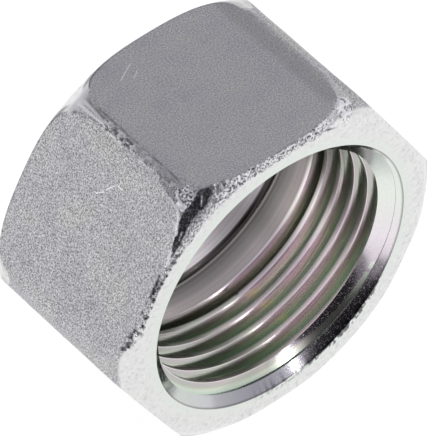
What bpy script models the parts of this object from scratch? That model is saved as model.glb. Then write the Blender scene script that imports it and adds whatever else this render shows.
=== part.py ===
"""Union nut of a compression tube fitting: M30 x 2 right-hand thread, for a 22 mm tube.

A hot-forged steel hexagon, turned at its ends and in its bore. Metres, +Z up.
The nut lies on one of its flats, with its bore along Y and its threaded mouth towards -Y.
The origin is on the surface that the nut lies on, under the middle of the nut.
Each form is made with the nut standing on its tube end: +Z is then towards the mouth.
"""
import math

import bmesh
import bpy
from mathutils import Matrix

NAME = "union_nut"
TURN = 2.0 * math.pi
COS_30 = math.cos(math.radians(30.0))
TAN_30 = math.tan(math.radians(30.0))

# Tube and thread
TUBE_DIAMETER = 0.0220
TUBE_CLEARANCE = 0.0001           # between the tube and the nut's collar, all round
RING_SPACE = 0.0040               # from the tube's surface to the thread's diameter
THREAD_DIAMETER = TUBE_DIAMETER + 2.0 * RING_SPACE
THREAD_PITCH = 0.0020
THREAD_REACH = 0.01105            # depth of the last groove, below the mouth face
THREAD_END_ANGLE = math.radians(-75.0)    # where that groove ends, from +X, seen from the mouth
RUN_OUT_ANGLE = math.radians(10.0)        # stretch over which the groove rises out of the wall
TOOL_TIP = 0.00005                # width of the threading tool's tip, and so of the groove's root

# Bore, from the mouth inwards
LEAD_IN = 0.00055                 # the mouth edge lies this far outside the thread's diameter
LEAD_IN_ANGLE = math.radians(45.0)
PLAIN_BORE = 0.00425              # smooth bore between the thread's end and the cone
CONE_ANGLE = math.radians(45.0)   # the ring's cone, from the bore's axis
CONE_FILLET = 0.0006
COLLAR_LENGTH = 0.0021            # bore round the tube, at the tube end
COLLAR_EDGE = 0.0004              # chamfer where the tube comes out

# Forged hexagon
WALL = 0.0030                     # from the thread's diameter to a flat
DIE_CORNER_RADIUS = 0.0022        # four corners take the die's rounding
PARTING_CORNER_RADIUS = 0.0007    # two opposite corners, where the dies met, are sharper
PARTING_CORNERS = (120.0, 300.0)  # their angles, from +X, seen from the mouth
MOUTH_FACE_INSET = 0.0003         # the mouth face's circle lies this far inside the flats
MOUTH_SHOULDER = 0.0023           # radius of the shoulder round the mouth face
TUBE_FACE_INSET = 0.0008
TUBE_SHOULDER = 0.0029
DRAFT = math.radians(8.5)         # taper of the corners towards both ends

# Fineness of the round forms
STEPS = 72                        # round the axis
SHOULDER_STEPS = 5
FILLET_STEPS = 3
CORNER_STEPS = 5
HALF_STEP = TURN / STEPS / 2.0    # keeps the groove's edges off the bore's edges
MARGIN = 0.0010                   # how far a cutter runs past what it cuts

# Sizes that follow from those above
THREAD_RADIUS = THREAD_DIAMETER / 2.0
CREST_RADIUS = THREAD_RADIUS - 0.625 * THREAD_PITCH * COS_30      # flat crest, a quarter pitch wide
ROOT_RADIUS = THREAD_RADIUS + (THREAD_PITCH / 8.0 - TOOL_TIP) / 2.0 / TAN_30      # nearly sharp
GROOVE_DEPTH = ROOT_RADIUS - CREST_RADIUS
TUBE_BORE_RADIUS = TUBE_DIAMETER / 2.0 + TUBE_CLEARANCE
CONE_START = THREAD_REACH + PLAIN_BORE
CONE_DEPTH = (CREST_RADIUS - TUBE_BORE_RADIUS) / math.tan(CONE_ANGLE)
HEIGHT = CONE_START + CONE_DEPTH + COLLAR_LENGTH
ACROSS_FLATS = THREAD_DIAMETER + 2.0 * WALL


def remove_everything():
    for item in list(bpy.data.objects):
        bpy.data.objects.remove(item, do_unlink=True)


def new_collection(name):
    group = bpy.data.collections.new(name)
    bpy.context.scene.collection.children.link(group)
    return group


def zinc_plated_steel():
    material = bpy.data.materials.new("zinc_plated_steel")
    material.use_nodes = True
    shader = material.node_tree.nodes["Principled BSDF"]
    shader.inputs["Base Color"].default_value = (0.60, 0.60, 0.62, 1.0)
    shader.inputs["Metallic"].default_value = 1.0
    shader.inputs["Roughness"].default_value = 0.38
    return material


def arc(centre, radius, start, end, steps):
    """Points of an arc in the profile plane, from one angle to another."""
    return [
        (
            centre[0] + radius * math.cos(start + (end - start) * i / steps),
            centre[1] + radius * math.sin(start + (end - start) * i / steps),
        )
        for i in range(steps + 1)
    ]


def turned(name, profile, group):
    """A profile of (radius, height) points, turned about the nut's axis."""
    mesh = bpy.data.meshes.new(name)
    edges = [(i, i + 1) for i in range(len(profile) - 1)]
    mesh.from_pydata([(radius, 0.0, height) for radius, height in profile], edges, [])
    item = bpy.data.objects.new(name, mesh)
    group.objects.link(item)
    screw = item.modifiers.new("turn", "SCREW")
    screw.axis = "Z"
    screw.steps = STEPS
    screw.render_steps = STEPS
    screw.use_merge_vertices = True
    screw.merge_threshold = 0.00001
    return item


def hexagon_blank(group):
    """The forged hexagon, longer than the nut, with four round corners and two sharper ones."""
    shape = bmesh.new()
    corner_radius = ACROSS_FLATS / 2.0 / COS_30
    middle = Matrix.Translation((0.0, 0.0, HEIGHT / 2.0))
    bmesh.ops.create_cone(
        shape,
        cap_ends=True,
        segments=6,
        radius1=corner_radius,
        radius2=corner_radius,
        depth=HEIGHT + 2.0 * MARGIN,
        matrix=middle @ Matrix.Rotation(math.radians(30.0), 4, "Z"),
    )
    round_corners(shape, False, DIE_CORNER_RADIUS)
    round_corners(shape, True, PARTING_CORNER_RADIUS)
    mesh = bpy.data.meshes.new(NAME)
    shape.to_mesh(mesh)
    shape.free()
    blank = bpy.data.objects.new(NAME, mesh)
    group.objects.link(blank)
    return blank


def round_corners(shape, parting, radius):
    """Round the upright edges that lie at the parting corners, or those that don't."""
    edges = []
    for edge in shape.edges:
        along = (edge.verts[1].co - edge.verts[0].co).normalized()
        middle = (edge.verts[0].co + edge.verts[1].co) / 2.0
        sharp = middle.xy.length > ACROSS_FLATS / 2.0 / COS_30 - PARTING_CORNER_RADIUS / 100.0
        angle = math.degrees(math.atan2(middle.y, middle.x)) % 360.0
        at_parting = any(abs(angle - place) < 30.0 for place in PARTING_CORNERS)
        if abs(along.z) > COS_30 and sharp and at_parting == parting:
            edges.append(edge)
    bmesh.ops.bevel(
        shape,
        geom=edges,
        affect="EDGES",
        offset_type="OFFSET",
        offset=radius * TAN_30,
        segments=CORNER_STEPS,
        profile=0.5,
    )


def mouth_envelope(group):
    """Limits the mouth end: the turned face, its shoulder, and the draft behind it."""
    face = ACROSS_FLATS / 2.0 - MOUTH_FACE_INSET
    centre = (face, HEIGHT - MOUTH_SHOULDER)
    shoulder = arc(centre, MOUTH_SHOULDER, TURN / 4.0, DRAFT, SHOULDER_STEPS)
    edge, top = shoulder[-1]
    wide = edge + (top + MARGIN) * math.tan(DRAFT)
    profile = [(0.0, HEIGHT)] + shoulder + [(wide, -MARGIN), (0.0, -MARGIN)]
    return turned("mouth_envelope", profile, group)


def tube_envelope(group):
    """Limits the tube end in the same way."""
    face = ACROSS_FLATS / 2.0 - TUBE_FACE_INSET
    centre = (face, TUBE_SHOULDER)
    shoulder = arc(centre, TUBE_SHOULDER, -DRAFT, -TURN / 4.0, SHOULDER_STEPS)
    edge, bottom = shoulder[0]
    wide = edge + (HEIGHT + MARGIN - bottom) * math.tan(DRAFT)
    profile = [(0.0, HEIGHT + MARGIN), (wide, HEIGHT + MARGIN)] + shoulder + [(0.0, 0.0)]
    return turned("tube_envelope", profile, group)


def bore_cutter(group):
    """The turned bore: lead-in, thread crest, fillet, cone, collar and its outer chamfer."""
    mouth = THREAD_RADIUS + LEAD_IN
    lead_in_depth = (mouth - CREST_RADIUS) / math.tan(LEAD_IN_ANGLE)
    tangent = CONE_FILLET * math.tan(CONE_ANGLE / 2.0)
    fillet_centre = (CREST_RADIUS - CONE_FILLET, HEIGHT - CONE_START + tangent)
    profile = [
        (0.0, HEIGHT + MARGIN),
        (mouth + MARGIN * math.tan(LEAD_IN_ANGLE), HEIGHT + MARGIN),
        (CREST_RADIUS, HEIGHT - lead_in_depth),
    ]
    profile += arc(fillet_centre, CONE_FILLET, 0.0, -CONE_ANGLE, FILLET_STEPS)
    profile += [
        (TUBE_BORE_RADIUS, COLLAR_LENGTH),
        (TUBE_BORE_RADIUS, COLLAR_EDGE),
        (TUBE_BORE_RADIUS + COLLAR_EDGE + MARGIN, -MARGIN),
        (0.0, -MARGIN),
    ]
    return turned("bore_cutter", profile, group)


def thread_cutter(group):
    """The thread's groove, a right-hand helix from its deep end out past the mouth."""
    inner = THREAD_PITCH / 5.0                    # how far the cutter stands inside the crest
    half_root = TOOL_TIP / 2.0
    half_inner = half_root + (GROOVE_DEPTH + inner) * TAN_30
    section = [
        (CREST_RADIUS - inner, 0.0, half_inner),
        (ROOT_RADIUS, 0.0, half_root),
        (ROOT_RADIUS, 0.0, -half_root),
        (CREST_RADIUS - inner, 0.0, -half_inner),
    ]
    turns = math.ceil((THREAD_REACH + half_inner) / THREAD_PITCH * STEPS) / STEPS
    mesh = bpy.data.meshes.new("groove_section")
    mesh.from_pydata(section, [(0, 1), (1, 2), (2, 3), (3, 0)], [])
    sweep = bpy.data.objects.new("groove_sweep", mesh)
    group.objects.link(sweep)
    screw = sweep.modifiers.new("helix", "SCREW")
    screw.axis = "Z"
    screw.angle = turns * TURN
    screw.screw_offset = turns * THREAD_PITCH
    screw.steps = round(turns * STEPS)
    screw.render_steps = screw.steps
    graph = bpy.context.evaluated_depsgraph_get()
    shape = bmesh.new()
    shape.from_mesh(sweep.evaluated_get(graph).to_mesh())
    bpy.data.objects.remove(sweep, do_unlink=True)
    draw_out(shape, GROOVE_DEPTH + inner / 2.0, half_inner)
    ends = [edge for edge in shape.edges if edge.is_boundary]
    bmesh.ops.holes_fill(shape, edges=ends, sides=0)
    bmesh.ops.recalc_face_normals(shape, faces=shape.faces)
    helix = bpy.data.meshes.new("thread_cutter")
    shape.to_mesh(helix)
    shape.free()
    cutter = bpy.data.objects.new("thread_cutter", helix)
    group.objects.link(cutter)
    cutter.location.z = HEIGHT - THREAD_REACH
    cutter.rotation_euler.z = THREAD_END_ANGLE + HALF_STEP
    return cutter


def draw_out(shape, rise, half_width):
    """Raise the groove's deep end out of the wall, as the turning tool is drawn back."""
    for vertex in shape.verts:
        angle = math.atan2(vertex.co.y, vertex.co.x) % TURN
        turn = round(vertex.co.z / THREAD_PITCH - angle / TURN)
        along = angle + turn * TURN
        if along < RUN_OUT_ANGLE and abs(vertex.co.z) < half_width + THREAD_PITCH / 2.0:
            radius = vertex.co.xy.length
            drawn = radius - rise * (1.0 - max(along, 0.0) / RUN_OUT_ANGLE)
            vertex.co.xy *= drawn / radius


def cut(body, operation, cutter):
    boolean = body.modifiers.new(cutter.name, "BOOLEAN")
    boolean.operation = operation
    boolean.solver = "EXACT"
    boolean.object = cutter
    cutter.parent = body
    cutter.hide_render = True
    cutter.display_type = "WIRE"


def build():
    remove_everything()
    parts = new_collection(NAME + "_parts")
    cutters = new_collection("cutters")
    nut = hexagon_blank(parts)
    cut(nut, "INTERSECT", mouth_envelope(cutters))
    cut(nut, "INTERSECT", tube_envelope(cutters))
    cut(nut, "DIFFERENCE", bore_cutter(cutters))
    cut(nut, "DIFFERENCE", thread_cutter(cutters))
    nut.data.materials.append(zinc_plated_steel())
    nut.data.shade_smooth()
    nut.data.set_sharp_from_angle(angle=math.radians(25.0))
    nut.rotation_euler.x = TURN / 4.0
    nut.location = (0.0, HEIGHT / 2.0, ACROSS_FLATS / 2.0)


build()
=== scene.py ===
import math

import bmesh
import bpy
import numpy as np
from mathutils import Matrix, Vector, noise


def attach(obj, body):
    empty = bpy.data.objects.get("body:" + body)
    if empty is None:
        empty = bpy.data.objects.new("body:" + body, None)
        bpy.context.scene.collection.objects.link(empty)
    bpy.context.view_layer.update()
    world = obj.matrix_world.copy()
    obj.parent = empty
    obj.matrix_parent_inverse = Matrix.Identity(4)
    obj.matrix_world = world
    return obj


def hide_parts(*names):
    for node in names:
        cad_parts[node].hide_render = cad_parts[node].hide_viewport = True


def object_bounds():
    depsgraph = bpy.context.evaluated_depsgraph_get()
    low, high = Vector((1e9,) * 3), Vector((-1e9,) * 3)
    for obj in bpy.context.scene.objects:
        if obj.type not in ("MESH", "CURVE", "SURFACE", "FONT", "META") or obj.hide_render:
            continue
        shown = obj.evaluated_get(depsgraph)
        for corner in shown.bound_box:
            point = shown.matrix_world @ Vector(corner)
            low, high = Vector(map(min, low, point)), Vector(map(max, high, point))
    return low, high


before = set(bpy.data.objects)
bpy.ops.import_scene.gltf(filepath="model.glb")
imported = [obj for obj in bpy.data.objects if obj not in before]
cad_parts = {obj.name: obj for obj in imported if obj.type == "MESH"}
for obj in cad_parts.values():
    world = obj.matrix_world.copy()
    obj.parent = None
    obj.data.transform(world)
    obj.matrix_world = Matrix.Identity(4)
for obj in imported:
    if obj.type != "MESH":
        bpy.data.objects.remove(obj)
cad_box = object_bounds()

# The nut's blank. A hexagon of free-cutting steel, hot forged between two dies, so that four of
# its corners are rounded and the two where the dies met are sharper and carry the trimmed flash.
# It is made standing on its tube end, with its axis on Z, and laid on its flat at the end.
HEIGHT = 0.0202175
ACROSS_FLATS = 0.0360
DIE_CORNER_RADIUS = 0.0022
PARTING_CORNER_RADIUS = 0.0007
PARTING_CORNERS = (120.0, 300.0)
MARGIN = 0.0010
FLAT_CUTS = 79
CORNER_SEGMENTS = 8
END_BAND = 0.0035
END_ROW, MIDDLE_ROW = 0.00022, 0.00060
TURN = 2.0 * math.pi
COS_30 = math.cos(math.radians(30.0))
TAN_30 = math.tan(math.radians(30.0))
CORNER_OUT = ACROSS_FLATS / 2.0 / COS_30


def only(piece):
    """Select this piece alone, and make it the active one."""
    bpy.ops.object.select_all(action="DESELECT")
    piece.select_set(True)
    bpy.context.view_layer.objects.active = piece


def pick(piece, kind, test):
    """In edit mode, select only the vertices, edges or faces that pass the test."""
    bpy.ops.mesh.select_mode(type=kind)
    bpy.ops.mesh.select_all(action="DESELECT")
    shape = bmesh.from_edit_mesh(piece.data)
    items = {"VERT": shape.verts, "EDGE": shape.edges, "FACE": shape.faces}[kind]
    for item in items:
        if test(item):
            item.select_set(True)
    shape.select_flush_mode()
    bmesh.update_edit_mesh(piece.data)


def degrees_round(point):
    """A point's angle round the axis, from 0 to 360 degrees."""
    return math.degrees(math.atan2(point.y, point.x)) % 360.0


def round_corner_points(piece, parting, radius):
    """Round the outline's corners that lie on the parting line, or those that don't."""
    pick(
        piece,
        "VERT",
        lambda v: v.co.xy.length > CORNER_OUT - MARGIN / 100.0
        and any(abs(degrees_round(v.co) - at) < 30.0 for at in PARTING_CORNERS) == parting,
    )
    bpy.ops.mesh.bevel(
        affect="VERTICES",
        offset_type="OFFSET",
        offset=radius * TAN_30,
        segments=CORNER_SEGMENTS,
        profile=0.5,
    )


def heights():
    """Where the blank's rows lie: close together near both ends, wider apart between them."""
    rows = [-MARGIN]
    while rows[-1] < HEIGHT + MARGIN:
        near_end = min(rows[-1], HEIGHT - rows[-1]) < END_BAND
        rows.append(rows[-1] + (END_ROW if near_end else MIDDLE_ROW))
    return rows


bpy.ops.object.select_all(action="DESELECT")
bpy.ops.mesh.primitive_circle_add(
    vertices=6,
    radius=CORNER_OUT,
    fill_type="NOTHING",
    location=(0.0, 0.0, -MARGIN),
    rotation=(0.0, 0.0, math.radians(30.0)),
)
bpy.ops.object.transform_apply(location=True, rotation=True)
nut = bpy.context.object
nut.name = "nut"
nut.data.name = "nut"
bpy.ops.object.mode_set(mode="EDIT")
round_corner_points(nut, False, DIE_CORNER_RADIUS)
round_corner_points(nut, True, PARTING_CORNER_RADIUS)
pick(nut, "EDGE", lambda e: e.calc_length() > ACROSS_FLATS / 4.0)
bpy.ops.mesh.subdivide(number_cuts=FLAT_CUTS)
bpy.ops.mesh.select_all(action="SELECT")
bpy.ops.mesh.edge_face_add()
levels = heights()
for low, high in zip(levels, levels[1:]):
    bpy.ops.mesh.extrude_region_move(TRANSFORM_OT_translate={"value": (0.0, 0.0, high - low)})
bpy.ops.mesh.select_all(action="SELECT")
bpy.ops.mesh.normals_make_consistent(inside=False)
bpy.ops.object.mode_set(mode="OBJECT")

# The turned ends. The lathe faces both ends and chamfers the corners, round at the tube end and as
# a 40 degree cone with rounded edges at the mouth, and the draft of the dies tapers the corners.
MOUTH_FACE_INSET = 0.0003
MOUTH_EDGE = 0.0018
MOUTH_CHAMFER = math.radians(40.0)
CHAMFER_CORNER = 0.0010
CHAMFER_CORNER_RADIUS = 0.01894
CHAMFER_CORNER_DEPTH = 0.001795
TUBE_FACE_INSET = 0.0008
TUBE_SHOULDER = 0.0029
DRAFT = math.radians(8.5)
DRAFT_ROWS_END = 0.0030
FACE_START, TUBE_FACE_START = 0.0150, 0.0110
END_STEPS = 480
END_RINGS = 0.00022


def arc(centre, radius, start, end, steps):
    """Points on an arc of a profile, between two angles."""
    return [
        (
            centre[0] + radius * math.cos(start + (end - start) * i / steps),
            centre[1] + radius * math.sin(start + (end - start) * i / steps),
        )
        for i in range(steps + 1)
    ]


def turned(name, profile, steps):
    """A solid of revolution: its profile drawn point by point, then spun about the axis."""
    bpy.ops.object.select_all(action="DESELECT")
    bpy.ops.mesh.primitive_plane_add(size=MARGIN)
    solid = bpy.context.object
    solid.name = name
    bpy.ops.object.mode_set(mode="EDIT")
    bpy.ops.mesh.select_mode(type="VERT")
    bpy.ops.mesh.select_all(action="SELECT")
    bpy.ops.mesh.merge(type="CENTER")
    points = [Vector((out, 0.0, height)) for out, height in profile]
    bpy.ops.transform.translate(value=points[0])
    for point, following in zip(points, points[1:]):
        bpy.ops.mesh.extrude_vertices_move(TRANSFORM_OT_translate={"value": following - point})
    bpy.ops.mesh.select_all(action="SELECT")
    bpy.ops.mesh.spin(steps=steps, angle=TURN, center=(0.0, 0.0, 0.0), axis=(0.0, 0.0, 1.0))
    bpy.ops.mesh.select_all(action="SELECT")
    bpy.ops.mesh.remove_doubles(threshold=MARGIN / 1000.0)
    bpy.ops.mesh.normals_make_consistent(inside=False)
    bpy.ops.object.mode_set(mode="OBJECT")
    return solid


def combine(piece, operation, tool):
    """Cut the piece with a tool, or keep what lies inside it; the tool is then used up."""
    only(piece)
    boolean = piece.modifiers.new(tool.name, "BOOLEAN")
    boolean.operation = operation
    boolean.solver = "EXACT"
    boolean.object = tool
    bpy.ops.object.modifier_apply(modifier=boolean.name)
    bpy.data.objects.remove(tool, do_unlink=True)


def spaced(start, end, step):
    """Values about a step apart, from the start up to the last one before the end."""
    parts = max(1, round(abs(end - start) / step))
    return [start + (end - start) * i / parts for i in range(parts)]


def on_the_way(start, end, step):
    """Points along the straight line from one point to another, without its two ends."""
    parts = max(2, round(math.dist(start, end) / step))
    return [
        (
            start[0] + (end[0] - start[0]) * i / parts,
            start[1] + (end[1] - start[1]) * i / parts,
        )
        for i in range(1, parts)
    ]


mouth_face = ACROSS_FLATS / 2.0 - MOUTH_FACE_INSET
upright = TURN / 4.0 - MOUTH_CHAMFER
mouth_arc = arc((mouth_face, HEIGHT - MOUTH_EDGE), MOUTH_EDGE, TURN / 4.0, upright, 8)
chamfer_arc = arc(
    (CHAMFER_CORNER_RADIUS, HEIGHT - CHAMFER_CORNER_DEPTH), CHAMFER_CORNER, upright, DRAFT, 8
)
draft_start = chamfer_arc[-1]
draft_rows = [
    (draft_start[0] + drop * math.tan(DRAFT), draft_start[1] - drop)
    for drop in spaced(END_RINGS, DRAFT_ROWS_END, END_RINGS)
]
draft_end = (draft_start[0] + (draft_start[1] + MARGIN) * math.tan(DRAFT), -MARGIN)
mouth_profile = [(0.0, HEIGHT)]
mouth_profile += [(out, HEIGHT) for out in spaced(FACE_START, mouth_face, END_RINGS)]
mouth_profile += mouth_arc + on_the_way(mouth_arc[-1], chamfer_arc[0], END_RINGS) + chamfer_arc
mouth_profile += draft_rows + on_the_way(draft_rows[-1], draft_end, 4.0 * END_RINGS)
mouth_profile += [draft_end, (0.0, -MARGIN)]
combine(nut, "INTERSECT", turned("mouth_end", mouth_profile, END_STEPS))

tube_face = ACROSS_FLATS / 2.0 - TUBE_FACE_INSET
tube_arc = arc((tube_face, TUBE_SHOULDER), TUBE_SHOULDER, -DRAFT, -TURN / 4.0, 12)
draft_top = tube_arc[0][0] + (HEIGHT + MARGIN - tube_arc[0][1]) * math.tan(DRAFT)
tube_profile = [(0.0, HEIGHT + MARGIN), (draft_top, HEIGHT + MARGIN)] + tube_arc
tube_profile += [
    (out, 0.0) for out in spaced(tube_face - END_RINGS, TUBE_FACE_START, 2.0 * END_RINGS)
]
tube_profile += [(0.0, 0.0)]
combine(nut, "INTERSECT", turned("tube_end", tube_profile, END_STEPS // 2))

# The bore, turned out of the blank. The wall that takes the thread, the 45 degree cone that presses
# the ring onto the tube, the collar round the tube, and a lead-in that runs a little out of true.
THREAD_DIAMETER = 0.0300
THREAD_PITCH = 0.0020
THREAD_RADIUS = THREAD_DIAMETER / 2.0
GROOVE_DEPTH = 0.625 * THREAD_PITCH * COS_30
CREST_RADIUS = THREAD_RADIUS - GROOVE_DEPTH
TOOL_TIP = 0.00004
LEAD_IN = 0.00062
LEAD_IN_OFFSET = 0.00024
LEAD_IN_SIDE = math.radians(-56.0)
CONE_START = 0.0153
CONE_FILLET = 0.0006
CONE_ANGLE = math.radians(45.0)
TUBE_BORE_RADIUS = 0.0111
COLLAR_LENGTH = 0.0021
COLLAR_EDGE = 0.0004
BORE_STEPS = 360

tangent = CONE_FILLET * math.tan(CONE_ANGLE / 2.0)
bore_profile = [(0.0, HEIGHT + MARGIN), (CREST_RADIUS, HEIGHT + MARGIN)]
bore_profile += arc(
    (CREST_RADIUS - CONE_FILLET, HEIGHT - CONE_START + tangent), CONE_FILLET, 0.0, -CONE_ANGLE, 6
)
bore_profile += [
    (TUBE_BORE_RADIUS, COLLAR_LENGTH),
    (TUBE_BORE_RADIUS, COLLAR_EDGE),
    (TUBE_BORE_RADIUS + COLLAR_EDGE + MARGIN, -MARGIN),
    (0.0, -MARGIN),
]
combine(nut, "DIFFERENCE", turned("bore", bore_profile, BORE_STEPS))

mouth_edge = THREAD_RADIUS + LEAD_IN
lead_in_profile = [
    (0.0, HEIGHT + MARGIN),
    (mouth_edge + MARGIN, HEIGHT + MARGIN),
    (mouth_edge - THREAD_PITCH, HEIGHT - THREAD_PITCH),
    (0.0, HEIGHT - THREAD_PITCH),
]
lead_in = turned("lead_in", lead_in_profile, BORE_STEPS)
lead_in.location.x = LEAD_IN_OFFSET * math.cos(LEAD_IN_SIDE)
lead_in.location.y = LEAD_IN_OFFSET * math.sin(LEAD_IN_SIDE)
combine(nut, "DIFFERENCE", lead_in)

# The thread, M30 x 2, right hand, cut with a single-point tool: flanks at 30 degrees, a sharp
# root, and a last turn that rises out of the wall where the tool was drawn back. As in the
# photograph, it goes 100 degrees further round than in the solid, to where the mouth hides it.
THREAD_END_ANGLE = math.radians(-175.0)
FURTHER_ROUND = 100.0 / 360.0
THREAD_REACH = 0.01105 + FURTHER_ROUND * THREAD_PITCH
RUN_OUT_ANGLE = math.radians(9.0)
FLANK = math.radians(30.0)
THREAD_STEPS = 216
ROOT_STEPS = 4


def helix(name):
    """The groove's section as a closed ring, swept along the helix out past the mouth."""
    inner = THREAD_PITCH / 5.0
    root_centre = THREAD_RADIUS + THREAD_PITCH / 16.0 / TAN_30 - 2.0 * TOOL_TIP
    touch = root_centre + TOOL_TIP * math.sin(FLANK)
    half_touch = TOOL_TIP * math.cos(FLANK)
    half_inner = half_touch + (touch - (CREST_RADIUS - inner)) * TAN_30
    root = arc((root_centre, 0.0), TOOL_TIP, 2.0 * FLANK, -2.0 * FLANK, ROOT_STEPS)
    section = [(CREST_RADIUS - inner, half_inner)] + root + [(CREST_RADIUS - inner, -half_inner)]
    bpy.ops.object.select_all(action="DESELECT")
    bpy.ops.mesh.primitive_circle_add(vertices=len(section), radius=THREAD_PITCH)
    sweep = bpy.context.object
    sweep.name = name
    for vertex, (out, height) in zip(sweep.data.vertices, section):
        vertex.co = (out, 0.0, height)
    turns = math.ceil((THREAD_REACH + half_inner) / THREAD_PITCH * THREAD_STEPS) / THREAD_STEPS
    screw = sweep.modifiers.new("helix", "SCREW")
    screw.axis = "Z"
    screw.angle = turns * TURN
    screw.screw_offset = turns * THREAD_PITCH
    screw.steps = round(turns * THREAD_STEPS)
    screw.render_steps = screw.steps
    bpy.ops.object.modifier_apply(modifier=screw.name)
    draw_out(sweep, root_centre + TOOL_TIP - CREST_RADIUS + inner / 2.0, half_inner)
    bpy.ops.object.mode_set(mode="EDIT")
    pick(sweep, "EDGE", lambda e: e.is_boundary)
    bpy.ops.mesh.fill_holes(sides=0)
    bpy.ops.mesh.select_all(action="SELECT")
    bpy.ops.mesh.normals_make_consistent(inside=False)
    bpy.ops.object.mode_set(mode="OBJECT")
    sweep.rotation_euler.z = THREAD_END_ANGLE + TURN / BORE_STEPS / 3.0
    sweep.location.z = HEIGHT - THREAD_REACH
    return sweep


def draw_out(sweep, rise, half_width):
    """Raise the groove's deep end out of the wall, as the tool is drawn back."""
    for vertex in sweep.data.vertices:
        around = math.atan2(vertex.co.y, vertex.co.x) % TURN
        along = around + round(vertex.co.z / THREAD_PITCH - around / TURN) * TURN
        if along < RUN_OUT_ANGLE and abs(vertex.co.z) < half_width + THREAD_PITCH / 2.0:
            out = vertex.co.xy.length
            drawn = out - rise * (1.0 - max(along, 0.0) / RUN_OUT_ANGLE)
            vertex.co.x *= drawn / out
            vertex.co.y *= drawn / out


combine(nut, "DIFFERENCE", helix("thread"))

# The skin that forging, trimming and tumbling left: flats that wave a little, a beaded flash line
# on the parting corner, and, round the mouth, a rough strip that the facing cut didn't reach, a
# crushed patch and burrs on the corner, and a notch beside them, painted dark as painted shade.
# Several marks also carry painted highlights and painted shade. Sizes are in millimetres.
MM = 0.001
# How far out the facing cut reached, at each angle.
FACED = (
    (0.0, 21.0), (50.0, 21.0), (60.0, 20.2), (66.0, 19.1), (70.0, 17.9), (74.0, 17.45),
    (81.0, 17.1), (88.0, 16.8), (96.0, 16.85), (102.0, 17.2), (107.0, 17.5), (112.0, 17.3),
    (117.0, 17.5), (121.0, 17.6), (126.0, 17.2), (132.0, 17.3), (136.0, 17.45), (141.0, 17.55),
    (145.5, 17.6), (153.0, 17.5), (160.5, 17.65), (165.0, 18.1), (170.0, 19.3), (176.0, 21.0),
    (360.0, 21.0),
)
# Outlines on the corner: angles, and the way out along the skin, which goes on down the chamfer
# and there grows by SPREAD for each millimetre of depth.
SHEARED = (
    (116.5, 22.2), (114.8, 21.5), (113.9, 20.2), (114.8, 19.8), (116.5, 19.9), (118.6, 19.3),
    (121.0, 19.5), (124.2, 19.5), (126.7, 19.3), (129.8, 18.8), (133.1, 18.45), (135.7, 18.4),
    (136.6, 18.7), (133.6, 19.4), (129.4, 20.25), (125.1, 21.4), (123.2, 21.5), (118.7, 21.6),
)
CRUSHED = (
    (119.6, 25.3), (121.8, 24.7), (123.2, 23.5), (124.0, 22.1), (123.4, 21.4), (118.9, 21.5),
    (117.0, 22.4), (117.5, 23.9),
)
SPREAD = 1.62
FINE_FROM, FINE_TO = 50.0, 178.0
FINE_DEPTH = 3.2
FORGED_OUT = 16.3
CORNER_IN_SIGHT = PARTING_CORNERS[0]
TUBE_END_REACH = 2.2
TUBE_CORNER_OUT, TUBE_CORNER_ANGLE = 16.5, 9.0
FLASH_OUT, FLASH_WIDTH = 19.0, 1.0
MERGED = 0.01
HALF_FLAT = 10.392
OUTSIDE_OUT = 15.7
FLAT_RISE = 17.93
# Where marks start, are full, still are full, and end: angles in degrees, then depths.
ROUGH_STRIP = (60.0, 72.0, 163.0, 168.0)
STRIP_ON_A = (68.0, 76.0, 106.0, 120.0)
TORN_PART, TORN_DEPTHS = (93.0, 101.0, 112.5, 115.0), (0.0, 0.06, 1.1, 1.5)
UPPER_STREAK, UPPER_STREAK_OUT = (116.8, 117.3, 119.2, 119.8), (20.25, 20.36, 20.46, 20.6)
LOWER_STREAK, LOWER_STREAK_OUT = (128.2, 128.9, 130.6, 131.4), (19.0, 19.08, 19.14, 19.25)
LIP_ON_A, LIP_ON_B = (64.0, 67.0, 76.0, 80.0), (122.0, 123.5, 138.0, 143.0)
NOTCH, NOTCH_OUT = (133.0, 137.0, 164.0, 168.0), 17.80
# Each dent's place across flat B, its depth below the face, and its size.
DENTS = ((4.6, 0.15, 0.40), (5.3, 0.40, 0.34), (6.2, 0.35, 0.42), (6.9, 0.75, 0.30))
EDGE_LINE = (66.0, 70.0, 78.0, 84.0)
WORN_ANGLE, WORN_DEPTH = 63.5, 1.0
DARKENED_CORNER = (53.0, 57.0, 66.0, 69.0)
FEATHERED = (283.0, 292.0, 316.0, 326.0)
DARK_REFLECTION_ARC = (279.0, 285.0, 322.0, 328.0)
PITTED = (255.0, 264.0, 284.0, 290.0)


def ramp(value, low, high):
    """Nothing up to the low value, one from the high value on, and smooth between them."""
    share = np.clip((value - low) / (high - low), 0.0, 1.0)
    return share * share * (3.0 - 2.0 * share)


def between(value, low, full_low, full_high, high):
    """One between the two inner values, and fading to nothing at the outer two."""
    return ramp(value, low, full_low) * (1.0 - ramp(value, full_high, high))


def ripple(size, seed, where):
    """Smooth noise, about -0.5 to 0.5, with lumps of this size, at the points that need it."""
    shift = Vector((seed * 17.3, seed * 9.1, seed * 5.7))
    values = np.zeros(count)
    for index in np.flatnonzero(where):
        values[index] = noise.noise(Vector(spot[index]) / size + shift)
    return values


def inside(outline, first, second):
    """Whether each point (first, second) lies inside the outline."""
    within = np.zeros(count, bool)
    for (a, b), (c, d) in zip(outline, outline[1:] + outline[:1]):
        if b != d:
            left = first < a + (c - a) * (second - b) / (d - b)
            within ^= ((b > second) != (d > second)) & left
    return within


def face_place(face):
    """A face's angle round the axis, its distance from the axis, and its height."""
    middle = face.calc_center_median()
    return degrees_round(middle), middle.xy.length / MM, middle.z / MM


def near_corner(face):
    """A face of the forged outside near the mouth, where the cut didn't clean it up."""
    around, out, height = face_place(face)
    below = HEIGHT / MM - height
    return below < FINE_DEPTH and out > FORGED_OUT and FINE_FROM < around < FINE_TO


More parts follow.
